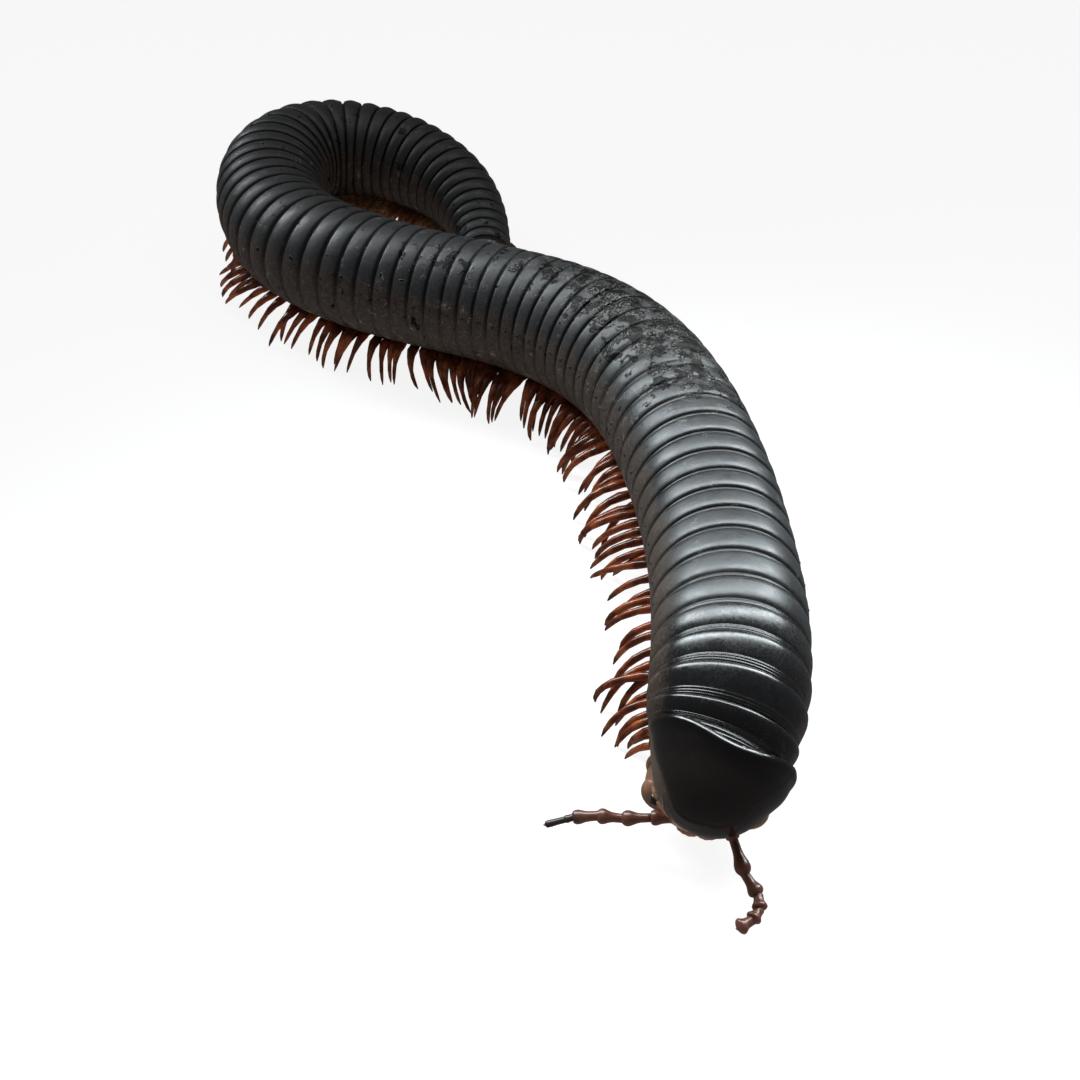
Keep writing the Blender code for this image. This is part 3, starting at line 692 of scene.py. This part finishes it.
for vert in work.verts:
    rear = (neck - vert.co / MM).dot(neck_tail)
    low = (vert.co / MM - brow).dot(brow_normal)
    off = vert.co / MM - middle
    apart = abs(off.dot(aside))
    rightward = smooth_step(RIGHT_FROM, RIGHT_TO, off.dot(aside))
    above = off.dot(HIGH) + DOME_MIDDLE[2] - float(np.interp(apart, GROOVE_OUT, GROOVE_HIGH))
    grooved = sum(ridge(low, *each) for each in MARGIN_RIDGES) + sum(ridge(above, *each) for each in GROOVE_RIDGES)
    grooved *= LEFT_KEEPS + (1.0 - LEFT_KEEPS) * rightward
    sag = SAG * smooth_step(0.3, SAG_FROM, rear) * smooth_step(SAG_TO, SAG_FROM, rear)
    if rear > 0.15 and low > 0.2:
        shoulder = ridge(rear, *SHOULDER) * smooth_step(SHOULDER_FROM, SHOULDER_TO, -off.dot(aside))
        swell = shoulder + ridge(rear, *REAR_ROLL) + grooved - sag
        vert.co += off.normalized() * swell * MM
    drawn = float(edge_drawn((off.dot(aside) + EDGE_LEFT) / EDGE_STEP * STATION))
    vert.co -= neck_tail * drawn * smooth_step(DRAWN_FROM, DRAWN_TO, rear) * MM
    vert[marks["along"]] = max(0.0, min(low / 6.0 + 0.3 * (1.0 - rightward) - 0.07 * rightward, 1.0))
    vert[marks["scuff"]] = smooth_step(0.1, -0.5, above) * rightward if above < 0.1 else 0.0
    vert[marks["around"]] = smooth_step(3.0, 7.5, apart)
    vert[marks["satin"]] = smooth_step(6.0, 1.0, rear)
sharp = [edge for edge in work.edges if len(edge.link_faces) == 2 and edge.calc_face_angle() > 0.9]
bmesh.ops.bevel(work, geom=sharp, offset=0.22 * MM, segments=3, profile=0.5, affect="EDGES", material=-1,
                offset_type="OFFSET", clamp_overlap=True)


def collum_material():
    made, nodes, links, skin = new_finish("polished_cuticle")
    skin.inputs["IOR"].default_value = 1.52
    tint = tints(nodes, links, mark(nodes, "along"), (0.0, (0.22, 0.14, 0.09)), (0.30, (0.0075, 0.0055, 0.0048)),
                 (0.06, (0.13, 0.075, 0.045)), (0.13, (0.022, 0.014, 0.010)))
    # outside its groove the plate thins out and turns brown, most at the sides
    band = tints(nodes, links, mark(nodes, "around"), (0.0, (0.018, 0.012, 0.009)), (1.0, (0.060, 0.042, 0.030)))
    rich = tints(nodes, links, mark(nodes, "satin"), (0.0, (1.0, 1.0, 1.0)), (1.0, (0.35, 0.35, 0.38)))
    deep = nodes.new("ShaderNodeMix")
    deep.data_type = "RGBA"
    deep.blend_type = "MULTIPLY"
    deep.inputs["Factor"].default_value = 1.0
    links.new(tint, deep.inputs["A"])
    links.new(rich, deep.inputs["B"])
    tint = layered(nodes, links, mark(nodes, "scuff"), deep.outputs["Result"], band)
    links.new(tint, skin.inputs["Base Color"])
    wear = grain(nodes, links, 900.0, 6.0, 0.65)
    links.new(spread(nodes, links, wear, 0.35, 0.70, 0.16, 0.26), skin.inputs["Roughness"])
    return made


polished_cuticle = collum_material()
collum = finished(work, "collum_plate", polished_cuticle)
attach(collum, "root")
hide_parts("collum")

# ---- The head. A capsule of chestnut cuticle under the collum, with a fine seam down the brow, a notched upper
# lip, the lobes of each jaw bulging at the sides, the plate of the lower lip beneath, and a soft collar in which
# each antenna turns.
HEAD_ASIDE = 0.5
HEAD_MIDDLE, HEAD_SIZE = (2.3, 0.0, -5.2), (4.7, 6.3, 5.0)
JAW_LOBES = (((-1.2, 5.5, -6.0), (1.4, 2.3, 2.3)), ((0.4, 5.0, -6.2), (3.2, 2.45, 2.6)),
             ((2.0, 4.9, -6.9), (1.9, 2.75, 2.6)))
LIP_MIDDLE, LIP_SIZE = (2.2, 0.0, -9.4), (2.1, 3.5, 1.4)
LABRUM_MIDDLE, LABRUM_SIZE = (5.4, 0.0, -8.3), (0.9, 2.6, 0.9)
ANTENNA_ROOT = (5.65, 3.7, -6.7)
ANTENNA_FACES = (0.75, 0.55, -0.35)  # forward, outward and up
COLLAR, COLLAR_BEAD = 0.78, 0.16
SEAM_DEEP, SEAM_WIDE = 0.16, 0.16
NOTCH_HIGH, NOTCH_WIDE, TEETH_HIGH, TEETH_TURN = 0.45, 0.5, 0.06, 9.0


def on_side(place, side):
    """A place of the head on its right (1) or left (-1) side."""
    return place[0], HEAD_ASIDE + place[1] * side, place[2]


def lobe(work, middle, size, sides=32, rounds=20):
    """One rounded swelling of the head."""
    return bmesh.ops.create_uvsphere(work, u_segments=sides, v_segments=rounds, radius=1.0,
                                     matrix=head_matrix(middle, size))["verts"]


def head_coordinates(at):
    """How far forward, to the right of the head's middle and up a point of the mesh is, in millimetres."""
    away = at / MM - neck
    return away.dot(ahead), away.dot(aside) - HEAD_ASIDE, away.dot(HIGH)


def head_material():
    made, nodes, links, skin = new_finish("chestnut_cuticle")
    skin.inputs["Roughness"].default_value = 0.32
    skin.inputs["Subsurface Weight"].default_value = 0.12
    skin.inputs["Subsurface Radius"].default_value = (0.001, 0.0004, 0.0002)
    mottle = grain(nodes, links, 350.0, 5.0)
    dark = tints(nodes, links, mottle, (0.35, (0.085, 0.034, 0.018)), (0.68, (0.230, 0.115, 0.068)))
    pale = tints(nodes, links, mottle, (0.35, (0.200, 0.140, 0.095)), (0.68, (0.360, 0.270, 0.200)))
    tint = layered(nodes, links, mark(nodes, "around"), dark, pale)
    links.new(tint, skin.inputs["Base Color"])
    return made


chestnut_cuticle = head_material()
work = new_work()
for vert in lobe(work, on_side(HEAD_MIDDLE, 1), HEAD_SIZE, 64, 40):
    forward, right, high = head_coordinates(vert.co)
    vert[work.verts.layers.float["around"]] = smooth_step(5.2, 6.4, forward)  # the brow is paler
    if forward > 2.0:
        vert.co -= ahead * ridge(right, SEAM_DEEP, 0.0, SEAM_WIDE) * MM
cut(work, neck - neck_tail * 0.15, neck_tail, clear=True)
cut(work, brow - brow_normal * 0.15, brow_normal, clear=True)
for middle, size in JAW_LOBES:
    for side in (1, -1):
        lobe(work, on_side(middle, side), size)
lobe(work, on_side(LIP_MIDDLE, 1), LIP_SIZE)
for vert in lobe(work, on_side(LABRUM_MIDDLE, 1), LABRUM_SIZE):
    right = head_coordinates(vert.co)[1]
    vert.co += HIGH * (ridge(right, NOTCH_HIGH, 0.0, NOTCH_WIDE) + TEETH_HIGH * math.cos(right * TEETH_TURN)) * MM
forward, outward, upward = ANTENNA_FACES
for side in (1, -1):
    root = head_place(*on_side(ANTENNA_ROOT, side))
    facing = (ahead * forward + aside * outward * side + HIGH * upward).normalized()
    level = facing.cross(HIGH).normalized()
    ring_axes = axes_matrix(level, facing, level.cross(facing))
    bead = bmesh.ops.create_circle(work, segments=10, radius=COLLAR_BEAD * MM,
                                   matrix=Matrix.Translation((root + level * COLLAR) * MM) @ ring_axes)["verts"]
    bmesh.ops.spin(work, geom=list(bead) + edges_of(bead), cent=root * MM, axis=facing, dvec=(0.0, 0.0, 0.0),
                   angle=2.0 * math.pi, steps=28, use_merge=True, use_duplicate=False)
head = finished(work, "head_capsule", chestnut_cuticle)
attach(head, "root")
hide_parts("head")

# ---- The eyes. Behind each antenna lies a three-cornered patch of small round lenses, clear cuticle over black
# pigment, set in rows that shorten forward and slightly domed above the capsule.
EYE_MIDDLE, EYE_SIZE = (3.9, 5.4, -5.8), (0.95, 0.75, 0.75)
LENS, LENS_ROWS, LENS_TURN = 0.105, (8, 8, 7, 6, 5, 4, 3), 17.0  # radius, lenses in each row, degrees between
lens_black, _, _, skin = new_finish("lens_black")
skin.inputs["Base Color"].default_value = (0.008, 0.006, 0.006, 1.0)
skin.inputs["Roughness"].default_value = 0.08
for side, name in ((1, "right"), (-1, "left")):
    work = new_work()
    lobe(work, on_side(EYE_MIDDLE, side), EYE_SIZE)
    for row, count in enumerate(LENS_ROWS):
        for place in range(count):
            lean = math.radians((row - (len(LENS_ROWS) - 1) / 2.0) * LENS_TURN)
            rise = math.radians((place - (count - 1) / 2.0) * LENS_TURN)
            spot = (EYE_MIDDLE[0] + EYE_SIZE[0] * math.sin(lean) * math.cos(rise),
                    EYE_MIDDLE[1] + EYE_SIZE[1] * math.cos(lean) * math.cos(rise),
                    EYE_MIDDLE[2] + EYE_SIZE[2] * math.sin(rise))
            lobe(work, on_side(spot, side), (LENS, LENS, LENS), 8, 5)
    cut(work, brow - brow_normal * 0.15, brow_normal, clear=True)
    eye = finished(work, f"lenses_{name}", lens_black)
    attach(eye, "root")
    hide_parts(f"eye_{name}")

# ---- The antennae. Tubes of red-brown cuticle, six long articles on each side, each slender where it leaves the
# one before and swollen at its far end, so the feeler bends at every joint. Four sensory cones end it.
FEELER_BEGINS = -0.5
# for each article: where it ends along the feeler, its waist, its swelling, its heading and its dip
RIGHT_ARTICLES = ((1.9, 0.70, 0.94, -95, 8), (5.3, 0.54, 0.96, -95, 8), (8.2, 0.56, 0.95, -93, -6),
                  (11.1, 0.60, 0.88, -87, 2), (12.0, 0.44, 0.48, -76, 8), (14.3, 0.40, 0.44, -78, 8))
LEFT_ARTICLES = ((1.0, 0.66, 0.84, 16, 22), (5.2, 0.54, 0.97, 16, 22), (7.95, 0.56, 0.95, 32, 20),
                 (9.7, 0.58, 0.90, 2, 12), (11.3, 0.56, 0.92, -38, 8), (13.2, 0.58, 0.96, -59, 4))
# share along an article, share of its swelling
CLUB = ((0.0, 0.0), (0.12, 0.0), (0.34, 0.06), (0.48, 0.22), (0.60, 0.55), (0.70, 0.86), (0.79, 1.0), (0.88, 0.92),
        (0.95, 0.60), (1.0, 0.20))
TIP = ((0.10, 0.80), (0.17, 0.45))  # past the last article, share of its waist
FEELER_SIDES = 18
CONE, CONE_TIP, CONE_LONG, CONE_SUNK, CONE_APART = 0.09, 0.02, 0.28, 0.05, 0.11


def feeler_material():
    made, nodes, links, skin = new_finish("feeler_brown")
    skin.inputs["Roughness"].default_value = 0.3
    skin.inputs["Subsurface Weight"].default_value = 0.1
    skin.inputs["Subsurface Radius"].default_value = (0.0008, 0.0003, 0.0001)
    tint = tints(nodes, links, mark(nodes, "along"), (0.0, (0.105, 0.032, 0.018)), (0.70, (0.125, 0.046, 0.030)),
                 (0.80, (0.030, 0.018, 0.017)), (1.0, (0.026, 0.014, 0.012)))
    links.new(tint, skin.inputs["Base Color"])
    return made


feeler_brown = feeler_material()
for side, name, articles, darkening in ((1, "right", RIGHT_ARTICLES, 1.0), (-1, "left", LEFT_ARTICLES, 0.65)):
    work = new_work()
    along = work.verts.layers.float["along"]
    centre = head_place(*on_side(ANTENNA_ROOT, side))
    whole = articles[-1][0]
    stops = []
    begin = FEELER_BEGINS
    for end, waist, swollen, turn, dip in articles:
        turn, dip = math.radians(turn), math.radians(dip)
        run = Vector((math.sin(turn) * math.cos(dip), -math.cos(turn) * math.cos(dip), -math.sin(dip)))
        if not stops:
            centre = centre + run * begin
        for share, swell in CLUB:
            stops.append((centre + run * (end - begin) * share, run, waist + (swollen - waist) * swell,
                          (begin + (end - begin) * share) / whole))
        centre = centre + run * (end - begin)
        begin = end
    for past, share in TIP:
        stops.append((centre + run * past, run, waist * share, 1.0))
    rounds = []
    for at, run, radius, share in stops:
        wide = run.cross(HIGH).normalized()
        axes = axes_matrix(wide, wide.cross(run), run)
        made = bmesh.ops.create_circle(work, segments=FEELER_SIDES, radius=radius * MM,
                                       matrix=Matrix.Translation(at * MM) @ axes)
        for vert in made["verts"]:
            vert[along] = max(0.0, share) * darkening
        rounds.append(edges_of(made["verts"]))
    close_tube(work, rounds)
    for spot in (wide, -wide, wide.cross(run), -wide.cross(run)):
        at = centre + run * (TIP[-1][0] + CONE_LONG / 2.0 - CONE_SUNK) + spot * CONE_APART
        cone = bmesh.ops.create_cone(work, cap_ends=True, segments=8, radius1=CONE * MM, radius2=CONE_TIP * MM,
                                     depth=CONE_LONG * MM, matrix=Matrix.Translation(at * MM) @ axes)["verts"]
        for vert in cone:
            vert[along] = darkening
    feeler = finished(work, f"feeler_{name}", feeler_brown)
    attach(feeler, "root")
    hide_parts(f"antenna_{name}")

# ---- The telson. The end piece, of the collum's polished cuticle, closes the last ring in a blunt dome with a
# short point above, over two domed anal valves that meet in a rimmed slit, and a small plate below them.
VALVE_SIZE, VALVE_MIDDLE = (2.2, 1.5, 2.6), (3.3, 1.25, -1.5)
POINT_MIDDLE, POINT_SIZE = (4.3, 0.0, 1.5), (1.4, 0.6, 0.45)
SCALE_MIDDLE, SCALE_SIZE = (2.4, 0.0, -3.3), (1.3, 1.0, 0.4)
SLIT_RIM = (0.22, 0.22, 0.16)  # height, distance from the slit, width
# distance past the last groove, share of the radius there
TAIL_DOME = ((0.0, 0.90), (0.2, 0.99), (0.7, 1.0), (1.3, 0.97), (2.0, 0.92), (2.7, 0.84), (3.4, 0.74), (4.0, 0.62),
             (4.5, 0.49), (4.9, 0.34), (5.1, 0.15))
point, tail, right, up = frame_at(starts[-1])
size = girth(starts[-1])
tail_axes = axes_matrix(right, up, tail)
work = new_work()
rounds = []
for past, share in TAIL_DOME:
    centre = (point + tail * past) * MM
    made = bmesh.ops.create_circle(work, segments=ROUND_SIDES, radius=size * share * MM,
                                   matrix=Matrix.Translation(centre) @ tail_axes)
    for vert in made["verts"]:
        vert.co += up * max(0.0, -BELLY * size * share * MM - (vert.co - centre).dot(up))
    rounds.append(edges_of(made["verts"]))
close_tube(work, rounds)
plates = [(VALVE_MIDDLE, VALVE_SIZE, side) for side in (1, -1)]
for middle, size_of, side in plates + [(POINT_MIDDLE, POINT_SIZE, 1), (SCALE_MIDDLE, SCALE_SIZE, 1)]:
    at = point + tail * middle[0] + right * middle[1] * side + up * middle[2]
    axes = axes_matrix(right * size_of[1], up * size_of[2], tail * size_of[0])
    plate = bmesh.ops.create_uvsphere(work, u_segments=40, v_segments=24, radius=1.0,
                                      matrix=Matrix.Translation(at * MM) @ Matrix.Scale(MM, 4) @ axes)["verts"]
    if middle == VALVE_MIDDLE:
        for vert in plate:
            off = abs((vert.co / MM - point).dot(right))
            vert.co += tail * ridge(off, *SLIT_RIM) * MM
for vert in work.verts:
    vert[work.verts.layers.float["along"]] = 1.0
telson = finished(work, "telson_dome", polished_cuticle)
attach(telson, "root")
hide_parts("telson")

# ---- The floor and the light. A pale light table glows from beneath, one long soft lamp hangs over the far half
# of the animal, an arch of narrow softboxes stands over the first rings, and the room is dim.
FLOOR_HALF, FLOOR_GLOW, ROOM_GLOW = 2.0, 0.88, 0.10
LAMP_ABOVE, LAMP_AIM = (0.0, 0.105, 0.306), (0.0, -0.06, 0.02)
FRONT_RINGS = (0.035, -0.073, 0.02)
ARCH_LAMPS, ARCH_STEP = 9, 15.0  # how many, and the degrees between them
ARCH, ARCH_BACK, ARCH_SWEEP = 0.34, 28.5, 9.0  # radius, and how far it leans back at the top and more at its feet
WHITE, COOL = (1.0, 1.0, 1.0), (0.88, 0.97, 1.0)
floor_work = bmesh.new()
bmesh.ops.create_grid(floor_work, x_segments=1, y_segments=1, size=FLOOR_HALF)
floor_mesh = bpy.data.meshes.new("floor")
floor_work.to_mesh(floor_mesh)
floor_work.free()
floor = bpy.data.objects.new("floor", floor_mesh)
bpy.context.scene.collection.objects.link(floor)
pale_floor, _, _, surface = new_finish("pale_floor")
surface.inputs["Base Color"].default_value = (0.2, 0.2, 0.2, 1.0)
surface.inputs["Roughness"].default_value = 0.9
surface.inputs["Emission Color"].default_value = (*WHITE, 1.0)
surface.inputs["Emission Strength"].default_value = FLOOR_GLOW
floor_mesh.materials.append(pale_floor)
floor.visible_glossy = False  # the black shell doesn't mirror the table


def soft_lamp(name, place, target, width, height, power, spread_angle, color):
    """A rectangular softbox that faces its target; a small spread angle keeps its light from straying."""
    lamp = bpy.data.lights.new(name, "AREA")
    lamp.color = color
    lamp.shape = "RECTANGLE"
    lamp.size = width
    lamp.size_y = height
    lamp.energy = power
    lamp.spread = math.radians(spread_angle)
    obj = bpy.data.objects.new(name, lamp)
    obj.location = place
    obj.rotation_euler = (Vector(target) - Vector(place)).to_track_quat("-Z", "Y").to_euler()
    bpy.context.scene.collection.objects.link(obj)


soft_lamp("lamp_above", LAMP_ABOVE, LAMP_AIM, width=0.7, height=0.19, power=0.32, spread_angle=180.0, color=WHITE)
for number in range(ARCH_LAMPS):
    off = number - ARCH_LAMPS // 2
    across = math.radians(ARCH_STEP * off)
    back = math.radians(ARCH_BACK + ARCH_SWEEP * (off / (ARCH_LAMPS // 2)) ** 2)
    way = (math.sin(across) * math.cos(back), math.sin(back), math.cos(across) * math.cos(back))
    place = [middle + ARCH * part for middle, part in zip(FRONT_RINGS, way)]
    soft_lamp(f"lamp_arch_{number + 1}", place, FRONT_RINGS, width=0.13, height=0.13, power=0.0205,
              spread_angle=24.0, color=COOL)
world = bpy.data.worlds.new("room")
world.use_nodes = True
world.node_tree.nodes["Background"].inputs["Color"].default_value = (*WHITE, 1.0)
world.node_tree.nodes["Background"].inputs["Strength"].default_value = ROOM_GLOW
bpy.context.scene.world = world
bpy.context.scene.view_settings.view_transform = "Standard"
